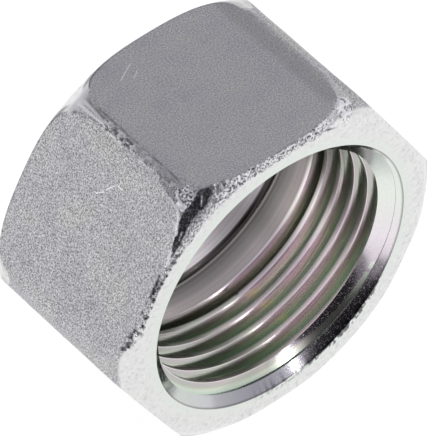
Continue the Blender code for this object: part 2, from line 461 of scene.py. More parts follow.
def near_tube_corner(face):
    """A face round the parting corner in sight, where the tube end's turning cuts it."""
    around, out, height = face_place(face)
    beside = abs(around - CORNER_IN_SIGHT) < TUBE_CORNER_ANGLE
    return height <= TUBE_END_REACH and out > TUBE_CORNER_OUT and beside


def near_flash(face):
    """A face beside one of the corners where the dies met, away from the turned ends."""
    around, out, height = face_place(face)
    off = min(abs(around - at) for at in PARTING_CORNERS)
    beside = out * math.sin(math.radians(off)) < FLASH_WIDTH and out > FLASH_OUT
    return beside and TUBE_END_REACH < height < HEIGHT / MM - TUBE_END_REACH


only(nut)
bpy.ops.object.mode_set(mode="EDIT")
for region, cuts in ((near_corner, 1), (near_flash, 2), (near_tube_corner, 2)):
    pick(nut, "FACE", region)
    bpy.ops.mesh.subdivide(number_cuts=cuts)
bpy.ops.mesh.select_all(action="SELECT")
bpy.ops.mesh.remove_doubles(threshold=MERGED * MM)
bpy.ops.object.mode_set(mode="OBJECT")


def at_points(name):
    """Each point's place, or the way its skin faces."""
    values = np.zeros(count * 3)
    nut.data.vertices.foreach_get(name, values)
    return values.reshape(-1, 3)


count = len(nut.data.vertices)
points = at_points("co")
outward = at_points("normal")
lowest, highest = points.min(axis=0), points.max(axis=0)
lowest[0], highest[0] = cad_box[0][0], cad_box[1][0]
spot = points / MM
angle = np.degrees(np.arctan2(spot[:, 1], spot[:, 0])) % 360.0
radius = np.hypot(spot[:, 0], spot[:, 1])
depth = HEIGHT / MM - spot[:, 2]
flat = (np.round((angle - 30.0) / 60.0) * 60.0 + 30.0) % 360.0
across = radius * np.sin(np.radians(angle - flat))
rise = radius * np.cos(np.radians(angle - flat))
turned_outs, turned_heights = np.transpose(mouth_profile[1:-1]) / MM
over_turning = depth - np.interp(radius, turned_outs, HEIGHT / MM - turned_heights)
turned_outs, turned_heights = np.transpose(tube_profile[-2:1:-1]) / MM
over_tube_turning = spot[:, 2] - np.interp(radius, turned_outs, turned_heights)
outside = radius > OUTSIDE_OUT
near_mouth = outside & (depth < FINE_DEPTH)
on_flat = outside & (rise > FLAT_RISE)

# The forged skin away from the ends: slow waves, and corners that fall away a little from the
# flats. lift is how far each point moves out. The two painted values hold dirt and painted shade,
# and bright metal and painted highlights.
from_corner = HALF_FLAT - np.abs(across)
parting = np.isin((np.round(angle / 60.0) * 60.0) % 360.0, PARTING_CORNERS)
off_ends = ramp(depth, 0.25, 0.9) * ramp(spot[:, 2], 0.25, 0.9)
lift = off_ends * (0.030 * ripple(4.5, 1, outside) + 0.012 * ripple(1.6, 2, outside))
lift -= np.where(parting, 0.085, 0.050) * ramp(-from_corner, -1.55, -0.35) * off_ends * on_flat

# The flash line: beads and pits along the trimmed edge between the dies, which come in clumps, and
# a faint groove along one side of it. The pits and the groove are painted dark as painted shade,
# and the beads bright as painted highlights.
edge = np.where(parting & outside, 1.0 - ramp(from_corner, 0.40, 0.72), 0.0)
edge *= ramp(depth, 2.2, 3.6) * ramp(spot[:, 2], 2.2, 3.4)
beads = ripple(0.46, 3, edge > 0.0) + 0.6 * ripple(0.25, 4, edge > 0.0)
clumps = 0.35 + 0.65 * ramp(ripple(2.4, 31, edge > 0.0), -0.12, 0.10)
lift += edge * (0.01 + 0.19 * beads * clumps)
dirt_and_shade = edge * ramp(-beads, 0.0, 0.20) * 0.70 * clumps
bare_metal_and_highlight = edge * ramp(beads, 0.08, 0.28) * 0.5 * clumps
groove = np.where(parting & outside, between(from_corner, 0.62, 0.74, 0.84, 0.98), 0.0)
groove *= (across > 0.0) * ramp(depth, 2.6, 3.4) * ramp(spot[:, 2], 1.4, 2.4)
groove *= 0.3 + 0.7 * ramp(ripple(0.6, 25, groove > 0.0), -0.20, 0.05)
lift -= 0.02 * groove
dirt_and_shade += groove * 0.50

# The facing cut's edge, and the forged strip beyond it, which lies a little lower. rim is the way
# past that edge, negative on the turned face.
reach = np.interp(angle, [at for at, _ in FACED], [out for _, out in FACED])
jagged = 0.22 * ripple(0.8, 9, near_mouth) + 0.16 * ripple(0.3, 10, near_mouth)
rim = np.where(near_mouth, radius + np.maximum(depth - 0.3, 0.0) * 3.0 - reach + jagged, 9.0)
rim /= 1.0 + 9.0 * (1.0 - between(angle, *ROUGH_STRIP))
at_end = (1.0 - ramp(over_turning, 0.03, 0.12)) * near_mouth
strip = ramp(rim, -0.02, 0.12) * at_end * (1.0 - ramp(depth, 0.12, 0.5))
along_a = between(angle, *STRIP_ON_A)
lift += strip * (
    -0.05
    + (0.03 + 0.07 * along_a) * ripple(0.8, 5, strip > 0.0)
    + (0.03 + 0.08 * along_a) * ripple(0.36, 6, strip > 0.0)
)
mottle = ripple(0.34, 11, strip > 0.0) + 0.5 * ripple(0.8, 12, strip > 0.0)
bare_metal_and_highlight += strip * (0.40 + 0.15 * along_a + 0.45 * ramp(mottle, 0.0, 0.34))
dirt_and_shade += strip * (0.55 + 0.45 * along_a) * ramp(-mottle, 0.04, 0.26) * 0.8

# Flat A's edge beside the corner: the same rough strip climbs the chamfer as a bright, torn burr.
torn = at_end * between(angle, *TORN_PART) * between(depth, *TORN_DEPTHS)
lift += torn * (0.07 * ripple(0.55, 7, torn > 0.0) + 0.05 * ripple(0.28, 8, torn > 0.0))
shreds = ripple(0.34, 13, torn > 0.0)
bare_metal_and_highlight += torn * ramp(shreds, 0.05, 0.26) * 0.9
dirt_and_shade += torn * ramp(-shreds, 0.06, 0.26) * 0.6

# The corner between flats A and B. Its chamfer was sheared smooth, and its dark is a painted
# reflection; two torn streaks left standing carry painted highlights. Above it the corner is
# crushed, painted bright as bare metal with painted highlights, and painted shade between its
# crumbs.
spread = radius + SPREAD * depth
wander = ripple(0.5, 26, near_mouth)
sheared_painted_dark = near_mouth & (radius > 17.6)
sheared_painted_dark &= inside(SHEARED, angle + 1.2 * wander, spread + 0.3 * ripple(0.4, 27, near_mouth))
upper_streak = between(spread + (angle - 118.4) * 0.52, *UPPER_STREAK_OUT)
upper_streak *= between(angle, *UPPER_STREAK) * sheared_painted_dark
lower_streak = between(spread + (angle - 131.0) * 0.2, *LOWER_STREAK_OUT)
lower_streak *= between(angle, *LOWER_STREAK) * sheared_painted_dark
streaks = np.maximum(upper_streak, lower_streak)
lift += sheared_painted_dark * (-0.02 + 0.03 * ripple(0.7, 17, sheared_painted_dark)) + 0.07 * streaks
# Painted reflection: the sheared chamfer is painted near black; the streaks get painted highlights.
dirt_and_shade = np.where(sheared_painted_dark, 0.93, dirt_and_shade) * (1.0 - streaks)
bare_metal_and_highlight = np.where(sheared_painted_dark, 0.0, bare_metal_and_highlight) + 0.7 * streaks
rim = np.where(sheared_painted_dark, 2.0, rim)

crushed = near_mouth & ~sheared_painted_dark
crushed &= inside(CRUSHED, angle + 1.0 * wander, spread + 0.5 * ripple(0.4, 28, near_mouth))
crumbs = ripple(0.42, 14, crushed) + 0.6 * ripple(0.24, 15, crushed)
left_edge = ramp(angle - 0.35 * (24.0 - spread), 120.6, 122.0)
# Painted highlights on the raised crumbs and painted shade between them.
lift += crushed * (0.02 + 0.16 * crumbs)
bare_metal_and_highlight += crushed * np.maximum(0.6 + 0.4 * ramp(crumbs, -0.10, 0.15), 1.8 * left_edge)
dirt_and_shade += crushed * ramp(-crumbs, 0.08, 0.28) * 0.6 * (1.0 - left_edge)

# The burr lip along flat B, and the shorter one along flat A's other end, both painted bright
# along their ridges as painted highlights.
lip = on_flat & near_mouth & (over_turning < 0.30) & ~sheared_painted_dark
lip_height = (1.0 - ramp(over_turning, 0.08, 0.26)) * lip
lip_b = lip_height * between(angle, *LIP_ON_B)
lip_a = lip_height * between(angle, *LIP_ON_A)
lift += lip_b * (0.07 + 0.05 * ripple(0.6, 18, lip_b > 0.0)) + lip_a * 0.05
bare_metal_and_highlight += 1.9 * lip_b + 0.6 * lip_a

# The notch between flat B and the face, painted dark as painted shade, its dents near the next
# corner, and the dark line along flat A's edge.
notch_out = NOTCH_OUT + 0.34 * ripple(1.3, 19, near_mouth) + 0.30 * ripple(0.45, 20, near_mouth)
notch_width = 0.20 - 0.10 * ramp(angle, 148.0, 158.0)
notch = 1.0 - ramp(np.abs(radius - notch_out), notch_width, notch_width + 0.14)
notch *= near_mouth * (depth < 0.5) * between(angle, *NOTCH)
notch_noise = ripple(0.32, 29, notch > 0.0)
lift -= notch * (0.12 - 0.20 * notch_noise)
dirt_and_shade += notch * ramp(notch_noise, -0.22, 0.0)
bare_metal_and_highlight += notch * ramp(-notch_noise, 0.18, 0.30) * 0.8
on_b = near_mouth & (flat == 150.0) & (rise > 17.3)
frayed = 0.25 * ripple(0.35, 30, on_b)
for dent_across, dent_depth, size in DENTS:
    off = np.sqrt(
        (across - dent_across) ** 2 + (depth - dent_depth) ** 2 + ((18.0 - rise) / 2.0) ** 2
    )
    off = (off + frayed) / size
    dent = np.where(on_b, 1.0 - ramp(off, 0.5, 1.0), 0.0)
    ridge = np.where(on_b, between(off, 0.95, 1.15, 1.3, 1.7), 0.0) * (across < dent_across)
    # Painted shade inside each dent, and a painted highlight on one side of its rim.
    lift += 0.05 * ridge - 0.13 * dent
    dirt_and_shade += 0.9 * dent
    bare_metal_and_highlight += 0.7 * ridge
thin = (1.0 - ramp(np.abs(radius - FLAT_RISE), 0.05, 0.13)) * near_mouth * (depth < 0.3)
dirt_and_shade += 0.8 * thin * between(angle, *EDGE_LINE)

# The worn patch on the corner beside flat A's other end. The long rounded corner above that
# patch is painted darker, to the tone of the flats.
worn = np.hypot((angle - WORN_ANGLE) / 3.4, (depth - WORN_DEPTH) / 0.95)
worn = (1.0 - ramp(worn, 0.6, 1.1)) * near_mouth
scuffs = ripple(0.55, 21, worn > 0.0) + 0.5 * ripple(0.3, 22, worn > 0.0)
lift += worn * 0.10 * scuffs
bare_metal_and_highlight += 2.0 * worn * ramp(scuffs, -0.22, -0.04)
dirt_and_shade += worn * ramp(-scuffs, 0.20, 0.34) * 0.6
dirt_and_shade += 0.20 * between(angle, *DARKENED_CORNER) * outside * ramp(depth, 1.2, 2.4)

points += outward * (np.where(outside, lift, 0.0) * MM)[:, None]
points = np.clip(points, lowest, highest)
nut.data.vertices.foreach_set("co", points.ravel())

# The facing tool tore the metal where the lead-in is widest, so its edge is feathered, and over
# part of it the face along that edge is painted dark, a painted reflection.
past_edge = np.hypot(
    spot[:, 0] - LEAD_IN_OFFSET / MM * math.cos(LEAD_IN_SIDE),
    spot[:, 1] - LEAD_IN_OFFSET / MM * math.sin(LEAD_IN_SIDE),
)
past_edge -= mouth_edge / MM
at_face = (depth < 0.01) & (past_edge < 0.6)
torn_edge = 0.30 + 1.1 * ripple(0.40, 24, at_face) + 0.5 * ripple(0.2, 23, at_face)
feather = 1.0 - ramp(past_edge - torn_edge * between(angle, *FEATHERED), 0.0, 0.10)
dirt_and_shade += 0.92 * at_face * feather * between(angle, *DARK_REFLECTION_ARC)
pitted = at_face * ramp(ripple(0.26, 32, at_face), 0.0, 0.2) * (1.0 - ramp(past_edge, 0.25, 0.6))
dirt_and_shade += 0.6 * pitted * between(angle, *PITTED)

# The tube end's turning. A dark line follows its edge on the flats, and where it cuts the corner
# in sight it is painted bright, a painted reflection. Four flats get a stronger bump than flat A
# and its opposite, and painted glitter in their colour.
on_tube_turning = outside & (over_tube_turning < 0.03)
rim = np.where(on_tube_turning | (radius <= OUTSIDE_OUT), -1.0, rim)
from_sight = np.abs(angle - CORNER_IN_SIGHT)
tube_line = between(over_tube_turning, -0.04, -0.01, 0.06, 0.20) * outside * (rise > 17.6)
dirt_and_shade += 0.75 * tube_line * (0.30 + 0.70 * (1.0 - ramp(from_sight, 9.0, 16.0)))
bare_metal_and_highlight += 0.85 * on_tube_turning * (1.0 - ramp(from_sight, 5.5, 9.0)) * ramp(spot[:, 2], 1.2, 2.0)
coarse_and_glitter = np.where(np.isin(flat, (90.0, 270.0)), 0.0, 1.0)


def paint(name, values):
    """Keep a value at each point of the skin, for the material to read."""
    layer = nut.data.attributes.new(name, "FLOAT", "POINT")
    layer.data.foreach_set("value", values.astype(np.float32))


paint("rim", rim)
paint("dirt_and_shade", np.clip(dirt_and_shade, 0.0, 1.0))
paint("bare_metal_and_highlight", np.clip(bare_metal_and_highlight, 0.0, 2.0))
paint("coarse_and_glitter", coarse_and_glitter)
nut.data.update()

upright_to_flat = Matrix.Rotation(TURN / 4.0, 4, "X")
nut.data.transform(Matrix.Translation((0.0, HEIGHT / 2.0, ACROSS_FLATS / 2.0)) @ upright_to_flat)

# The finish: zinc over blasted forging on the flats, brighter on the turned ends. It reads the
# nut's own coordinates, with the nut's axis at AXIS, and what was painted on the skin above.
# Besides the metal's own tones it holds painted glitter, highlights, reflections and shade.
AXIS = (0.0, 0.0, ACROSS_FLATS / 2.0)
LEAD_IN_AXIS = (
    LEAD_IN_OFFSET * math.cos(LEAD_IN_SIDE),
    0.0,
    AXIS[2] + LEAD_IN_OFFSET * math.sin(LEAD_IN_SIDE),
)
BLASTED_TONES = (
    (0.32, (0.52, 0.515, 0.55)),
    (0.5, (0.56, 0.555, 0.575)),
    (0.68, (0.585, 0.585, 0.58)),
)
GLITTER_TINTS = ((0.30, (0.36, 0.36, 0.37)), (0.70, (1.32, 1.31, 1.30)))
MILD_TINTS = ((0.30, (0.72, 0.72, 0.73)), (0.70, (1.36, 1.36, 1.34)))
FACED_TONES = ((0.32, (0.54, 0.54, 0.56)), (0.42, (0.71, 0.71, 0.71)), (0.6, (0.79, 0.79, 0.775)))
NEAR_BORE_TONE = (0.735, 0.775, 0.73, 1.0)
LEAD_IN_REFLECTION_TONES = (
    (-150.0, (0.60, 0.64, 0.60)),
    (-125.0, (0.55, 0.55, 0.57)),
    (-100.0, (0.46, 0.45, 0.50)),
    (-84.0, (0.58, 0.56, 0.61)),
    (-60.0, (0.50, 0.46, 0.50)),
    (-38.0, (0.60, 0.53, 0.60)),
    (-20.0, (0.80, 0.74, 0.78)),
    (2.0, (0.78, 0.82, 0.76)),
    (45.0, (0.70, 0.76, 0.70)),
    (75.0, (0.40, 0.43, 0.40)),
)
LEAD_IN_EDGE_SHADE = (0.10, 0.10, 0.10, 1.0)
RUN_OUT_SHADE = (0.17, 0.20, 0.18, 1.0)
LEAD_IN_OUT, LEAD_IN_DEEPEST = 16.1, 3.0
CHATTER = ((0.52, (0.13, 0.13, 0.13)), (0.68, (0.34, 0.34, 0.34)))
DIRT_AND_SHADE_TONES = ((0.46, (0.035, 0.033, 0.036)), (0.70, (0.22, 0.21, 0.24)))
TORN_TONES = ((0.41, (0.09, 0.085, 0.11)), (0.49, (0.72, 0.71, 0.77)), (0.56, (1.0, 1.0, 1.0)))
BARE_AND_HIGHLIGHT_TONE = (0.95, 0.95, 0.98, 1.0)
BRIGHT, DULL = (0.95, 0.95, 0.95, 1.0), (0.12, 0.12, 0.12, 1.0)
SCRATCHES = (
    ((-3.68, 7.87, 36.0), (-5.66, 6.8, 36.0), BRIGHT),
    ((-3.75, 6.73, 36.0), (-4.55, 6.21, 36.0), BRIGHT),
    ((-13.58, 1.01, 30.48), (-13.24, 0.2, 31.07), BRIGHT),
    ((-13.08, 0.08, 31.34), (-12.62, -0.58, 32.14), BRIGHT),
    ((-12.48, -1.0, 32.39), (-12.49, -1.62, 32.36), BRIGHT),
    ((3.57, 5.54, 36.0), (3.57, 5.54, 36.0), DULL),
    ((-2.55, -3.77, 36.0), (-2.55, -3.77, 36.0), DULL),
)
TURNED_BUMP = (0.05, 0.05, 0.05, 1.0)


def node(tree, kind, feeds=None, **settings):
    """Add a node with these settings, and feed its inputs with values or with other outputs."""
    made = tree.nodes.new(kind)
    for name, value in settings.items():
        setattr(made, name, value)
    for name, feed in (feeds or {}).items():
        socket = made.inputs[name]
        if isinstance(feed, bpy.types.NodeSocket):
            tree.links.new(feed, socket)
        else:
            socket.default_value = feed
    return made


def maths(tree, operation, *values):
    """What a Math node makes of these values."""
    made = node(tree, "ShaderNodeMath", dict(enumerate(values)), operation=operation)
    return made.outputs[0]


def vector_maths(tree, operation, result, *values):
    """What a Vector Math node makes of these values: its Vector, or its Value."""
    made = node(tree, "ShaderNodeVectorMath", dict(enumerate(values)), operation=operation)
    return made.outputs[result]


def blend(tree, share, first, second, how="MIX"):
    """From the first colour to the second as the share goes from nothing to one."""
    feeds = {0: share, 6: first, 7: second}
    return node(tree, "ShaderNodeMix", feeds, data_type="RGBA", blend_type=how).outputs[2]


def tinted(tree, colour, tint):
    return blend(tree, 1.0, colour, tint, "MULTIPLY")


def reading(tree, name):
    """What paint kept under this name."""
    return node(tree, "ShaderNodeAttribute", attribute_name=name).outputs["Fac"]


def speckle(tree, where, size, detail=2.0, roughness=0.5):
    """Noise with lumps of this size in millimetres."""
    feeds = {"Vector": where, "Scale": 1.0 / (size * MM), "Detail": detail, "Roughness": roughness}
    return node(tree, "ShaderNodeTexNoise", feeds).outputs["Fac"]


def rings(tree, along, scale, detail):
    """Noise that changes only with this value, as a cutting tool's marks do."""
    feeds = {"W": along, "Scale": scale, "Detail": detail}
    return node(tree, "ShaderNodeTexNoise", feeds, noise_dimensions="1D").outputs["Fac"]


def between_values(tree, value, low, high, to_low=0.0, to_high=1.0):
    """The value's way from low to high, as one from to_low to to_high, held at both ends."""
    feeds = {"Value": value, "From Min": low, "From Max": high}
    feeds.update({"To Min": to_low, "To Max": to_high})
    return node(tree, "ShaderNodeMapRange", feeds).outputs["Result"]


def colours(tree, value, stops):
    """A colour ramp with these (place, colour) stops."""
    made = node(tree, "ShaderNodeValToRGB", {"Fac": value})
    while len(made.color_ramp.elements) < len(stops):
        made.color_ramp.elements.new(0.5)
    for element, (at, colour) in zip(made.color_ramp.elements, stops):
        element.position = at
        element.color = (*colour, 1.0)
    return made.outputs["Color"]


def stroke(tree, where, start, end, core=0.03, edge=0.10, strength=0.8):
    """A straight mark between two places, with its core and edge in millimetres too."""
    start, end = Vector(start) * MM, Vector(end) * MM
    length = (end - start).length + 0.01 * MM
    away = (end - start) / length
    off = vector_maths(tree, "SUBTRACT", "Vector", where, start)
    along = vector_maths(tree, "DOT_PRODUCT", "Value", off, away)
    along = between_values(tree, along, 0.0, length, 0.0, length)
    foot = node(tree, "ShaderNodeVectorMath", {0: away, "Scale": along}, operation="SCALE")
    gap = vector_maths(tree, "DISTANCE", "Value", off, foot.outputs["Vector"])
    return between_values(tree, gap, edge * MM, core * MM, 0.0, strength)


def new_material(name):
    material = bpy.data.materials.new(name)
    material.use_nodes = True
    shader = material.node_tree.nodes["Principled BSDF"]
    shader.inputs["Metallic"].default_value = 1.0
    return material, material.node_tree, shader


def angle_around(tree, where):
    """The angle round the nut's axis, in degrees from -180 to 180, nought towards +X."""
    parts = node(tree, "ShaderNodeSeparateXYZ", {0: where})
    level = maths(tree, "SUBTRACT", parts.outputs["Z"], AXIS[2])
    around = maths(tree, "ARCTAN2", level, parts.outputs["X"])
    return between_values(tree, around, -math.pi, math.pi, -180.0, 180.0)


def by_angle(tree, around, stops):
    """A colour ramp with its places given as angles round the nut, and no step at its back."""
    share = between_values(tree, around, -180.0, 180.0)
    stops = (*stops, (180.0, stops[0][1]))
    return colours(tree, share, [(0.5 + at / 360.0, colour) for at, colour in stops])


def from_axis(tree, where, axis=AXIS):
    """Distance from the nut's axis and depth below the mouth face, in millimetres."""
    off = vector_maths(tree, "SUBTRACT", "Vector", where, axis)
    level = vector_maths(tree, "MULTIPLY", "Vector", off, (1.0 / MM, 0.0, 1.0 / MM))
    out = vector_maths(tree, "LENGTH", "Value", level)
    along = node(tree, "ShaderNodeSeparateXYZ", {0: where}).outputs["Y"]
    below = between_values(tree, along, -HEIGHT / 2.0, HEIGHT / 2.0, 0.0, HEIGHT / MM)
    return out, below


def lead_in_colour(tree, where, out):
    """The lead-in's slope: film tints and painted reflections round it, a painted shade line at its
    edge, and painted shade where the thread starts.
    """
    around = angle_around(tree, where)
    colour = by_angle(tree, around, LEAD_IN_REFLECTION_TONES)
    # A painted shade line along the lead-in's outer edge.
    edge, _ = from_axis(tree, where, LEAD_IN_AXIS)
    edge = between_values(tree, edge, mouth_edge / MM - 0.22, mouth_edge / MM - 0.06, 0.0, 0.7)
    colour = blend(tree, edge, colour, LEAD_IN_EDGE_SHADE)
    # Painted shade where the thread's groove starts, on the upper right.
    deep = between_values(tree, out, 15.35, 15.05)
    upper_right = between_values(tree, around, 12.0, 40.0, 0.0, 0.8)
    return blend(tree, maths(tree, "MULTIPLY", deep, upper_right), colour, RUN_OUT_SHADE)


def zinc_skin():
    """The blasted flats and the turned ends, with dirt, bare metal, painted shade and painted
    highlights on them.
    """
    material, tree, shader = new_material("zinc_plated_steel")
    where = node(tree, "ShaderNodeTexCoord").outputs["Object"]
    out, below = from_axis(tree, where)

    coarse_and_glitter = reading(tree, "coarse_and_glitter")
    grain = speckle(tree, where, 0.15, 1.0)
    blasted = colours(tree, speckle(tree, where, 4.0, 4.0, 0.6), BLASTED_TONES)
    # Painted glitter on four flats: black and white speckle in their colour.
    mild, glitter = colours(tree, grain, MILD_TINTS), colours(tree, grain, GLITTER_TINTS)
    blasted = tinted(tree, blasted, blend(tree, coarse_and_glitter, mild, glitter))
    flecks = colours(tree, speckle(tree, where, 0.45, 5.0, 0.75), FACED_TONES)
    near_bore = between_values(tree, out, 17.2, 15.6)
    turned_face = blend(tree, near_bore, flecks, NEAR_BORE_TONE)
    lead_in = between_values(tree, below, 0.02, 0.05)
    for value, limit in ((out, LEAD_IN_OUT), (below, LEAD_IN_DEEPEST)):
        within = between_values(tree, value, limit, limit - 0.1)
        lead_in = maths(tree, "MULTIPLY", lead_in, within)
    turned_face = blend(tree, lead_in, turned_face, lead_in_colour(tree, where, out))
    faced = between_values(tree, reading(tree, "rim"), 0.06, -0.02)
    colour = blend(tree, faced, blasted, turned_face)

    fine = speckle(tree, where, 0.24)
    # Dirt and painted shade, then bare metal and painted highlights.
    colour = blend(tree, reading(tree, "dirt_and_shade"), colour, colours(tree, fine, DIRT_AND_SHADE_TONES))
    bare_metal_and_highlight = reading(tree, "bare_metal_and_highlight")
    tube_end = between_values(tree, below, 3.4, 3.6)
    bare = maths(tree, "MAXIMUM", between_values(tree, bare_metal_and_highlight, 1.1, 1.7), tube_end)
    bright_metal_and_highlight = blend(tree, bare, colours(tree, fine, TORN_TONES), BARE_AND_HIGHLIGHT_TONE)
    bare_metal_and_highlight = between_values(tree, bare_metal_and_highlight, 0.0, 1.0)
    colour = blend(tree, bare_metal_and_highlight, colour, bright_metal_and_highlight)
    for start, end, tone in SCRATCHES:
        colour = blend(tree, stroke(tree, where, start, end), colour, tone)
    tree.links.new(colour, shader.inputs["Base Color"])
    scattered = between_values(tree, bare_metal_and_highlight, 0.45, 1.0, 1.0, 0.6)
    tree.links.new(scattered, shader.inputs["Metallic"])

    gloss = between_values(tree, faced, 0.0, 1.0, 0.34, 0.26)
    gloss = blend(tree, lead_in, gloss, colours(tree, speckle(tree, where, 0.14), CHATTER))
    tree.links.new(gloss, shader.inputs["Roughness"])
    height = blend(tree, faced, grain, rings(tree, out, 9.0, 2.0))
    strength = between_values(tree, coarse_and_glitter, 0.0, 1.0, 0.35, 0.9)
    strength = blend(tree, faced, strength, TURNED_BUMP)
    feeds = {"Strength": strength, "Distance": 0.06 * MM, "Height": height}
    bump = node(tree, "ShaderNodeBump", feeds)
    tree.links.new(bump.outputs["Normal"], shader.inputs["Normal"])
    return material


# The passivation film in the bore, thin enough to tint the thread. Its tones go by the distance
# from the axis and the angle round it, a crest's by the way across it, and the wall's by depth.
# Beyond the film's tint they are painted light and shade: lighter and darker sides round the bore,
# a painted highlight and painted shade across each crest, painted shade in the last groove,
# painted glints, and painted bands of light and shade on the wall.
CREST_PHASE = -(THREAD_REACH / THREAD_PITCH + THREAD_END_ANGLE / TURN) % 1.0
LAST_TURN = math.ceil(THREAD_REACH / THREAD_PITCH + THREAD_END_ANGLE / TURN)
FILM_TINTS_AND_SHADE = (
    (0.05, (0.76, 0.69, 0.72)),
    (0.18, (0.80, 0.68, 0.73)),
    (0.36, (0.76, 0.73, 0.68)),
    (0.54, (0.96, 0.98, 0.88)),
    (0.72, (0.84, 0.91, 0.83)),
    (0.84, (0.78, 0.83, 0.79)),
    (0.94, (0.80, 0.84, 0.80)),
)
CREST_HIGHLIGHT_AND_SHADE = ((0.36, (1.0, 0.93, 0.96)), (0.46, (0.90, 0.82, 0.85)), (0.60, (0.42, 0.39, 0.38)))
FLANK_TINTS_AND_SHADE = (
    (-130.0, (0.61, 0.68, 0.64)),
    (-92.0, (0.70, 0.75, 0.69)),
    (-70.0, (1.0, 0.98, 0.99)),
    (-28.0, (0.97, 0.95, 0.95)),
    (0.0, (0.67, 0.73, 0.69)),
    (40.0, (0.57, 0.66, 0.62)),
)
CREST_TINTS_AND_SHADE = (
    (-130.0, (0.86, 0.98, 0.88)),
    (-90.0, (0.88, 0.98, 0.87)),
    (-70.0, (1.0, 0.98, 0.99)),
    (-28.0, (1.0, 0.98, 0.99)),
    (0.0, (0.88, 0.97, 0.87)),
    (40.0, (0.84, 0.96, 0.88)),
)
LAST_GROOVE_SHADE = (0.25, 0.255, 0.21, 1.0)
CLOUDY_TINTS = ((0.36, (1.04, 0.98, 1.01)), (0.5, (1.0, 1.0, 1.0)), (0.64, (0.98, 1.02, 0.95)))
PAINTED_GLINTS = (
    ((4.0, -0.4, 4.1), (4.9, -0.9, 4.4), (1.0, 1.0, 0.60, 1.0)),
    ((3.9, -2.4, 4.1), (4.8, -2.8, 4.4), (1.0, 0.98, 0.58, 1.0)),
    ((4.2, -4.6, 3.8), (4.9, -5.0, 4.1), (0.98, 1.0, 0.62, 1.0)),
)
BURR, BURR_TONE = ((3.15, 0.85, 4.4), (3.0, 0.30, 4.4)), (0.05, 0.05, 0.05, 1.0)
WALL_LIGHT_AND_SHADE = (
    (0.05, (0.66, 0.60, 0.59)),
    (0.24, (0.60, 0.54, 0.53)),
    (0.32, (0.43, 0.40, 0.39)),
    (0.43, (0.31, 0.29, 0.28)),
    (0.47, (0.22, 0.21, 0.20)),
    (0.488, (0.22, 0.21, 0.20)),
    (0.496, (0.50, 0.47, 0.45)),
    (0.508, (0.46, 0.43, 0.42)),
    (0.518, (0.20, 0.18, 0.17)),
    (0.55, (0.10, 0.09, 0.09)),
    (0.585, (0.13, 0.12, 0.12)),
    (0.60, (1.0, 0.92, 0.95)),
    (1.0, (1.0, 0.92, 0.95)),
)
RING_TINTS = ((0.36, (0.91, 0.91, 0.91)), (0.64, (1.07, 1.065, 1.06)))
WALL_START, CONE_DEPTH = 12.0, 15.6


def passivated_bore():
    """The thread's tinted film, and the smooth wall, cone and collar behind it, with painted light
    and shade on them.
    """
    material, tree, shader = new_material("passivated_bore")
    where = node(tree, "ShaderNodeTexCoord").outputs["Object"]
    out, below = from_axis(tree, where)
    around = angle_around(tree, where)

    pitches = maths(tree, "MULTIPLY", below, MM / THREAD_PITCH)
    lead = between_values(tree, around, -180.0, 180.0, -0.5, 0.5)
    turns = maths(tree, "ADD", maths(tree, "ADD", pitches, lead), CREST_PHASE)
    # Film tints, with painted light and shade across each flank and round the bore.
    flank = colours(tree, between_values(tree, out, 13.8, 15.3), FILM_TINTS_AND_SHADE)
    flank = tinted(tree, flank, by_angle(tree, around, FLANK_TINTS_AND_SHADE))
    # A painted highlight on each crest's mouth side, and painted shade on its deep side.
    crest = colours(tree, maths(tree, "FRACT", turns), CREST_HIGHLIGHT_AND_SHADE)
    crest = tinted(tree, crest, by_angle(tree, around, CREST_TINTS_AND_SHADE))
    film = blend(tree, between_values(tree, out, 14.0, 13.92), flank, crest)
    # Painted shade in the tail of the last groove.
    last = between_values(tree, turns, LAST_TURN - 0.03, LAST_TURN)
    last = maths(tree, "MULTIPLY", last, between_values(tree, out, 14.1, 14.5))
    film = blend(tree, last, film, LAST_GROOVE_SHADE)
    film = tinted(tree, film, colours(tree, speckle(tree, where, 3.2), CLOUDY_TINTS))
    # Painted glints: small bright spots of reflected light.
    for start, end, tone in PAINTED_GLINTS:
        film = blend(tree, stroke(tree, where, start, end, 0.10, 0.55, 0.75), film, tone)

    # Painted bands of shade and light down the wall, painted light on the cone, and painted shade
    # to the right.
    wall = colours(tree, between_values(tree, below, 11.0, 19.0), WALL_LIGHT_AND_SHADE)
    right = node(tree, "ShaderNodeSeparateXYZ", {0: where}).outputs["X"]
    shade = between_values(tree, right, 0.0075, 0.0125, 1.0, 0.50)
    shade = node(tree, "ShaderNodeCombineColor", {0: shade, 1: shade, 2: shade}).outputs[0]
    before_cone = between_values(tree, below, CONE_DEPTH + 0.1, CONE_DEPTH)
    wall = blend(tree, before_cone, wall, tinted(tree, wall, shade))
    marks = rings(tree, below, 5.0, 3.0)
    wall = tinted(tree, wall, colours(tree, marks, RING_TINTS))
    behind_thread = between_values(tree, below, WALL_START - 0.1, WALL_START)
    colour = blend(tree, behind_thread, film, wall)
    colour = blend(tree, stroke(tree, where, *BURR, 0.15, 0.35, 0.8), colour, BURR_TONE)
    tree.links.new(colour, shader.inputs["Base Color"])
    gloss = between_values(tree, below, CONE_DEPTH - 0.1, CONE_DEPTH + 0.2, 0.18, 0.45)
    tree.links.new(gloss, shader.inputs["Roughness"])
    bump = node(tree, "ShaderNodeBump", {"Strength": 0.25, "Distance": 0.03 * MM, "Height": marks})
    tree.links.new(bump.outputs["Normal"], shader.inputs["Normal"])
    return material


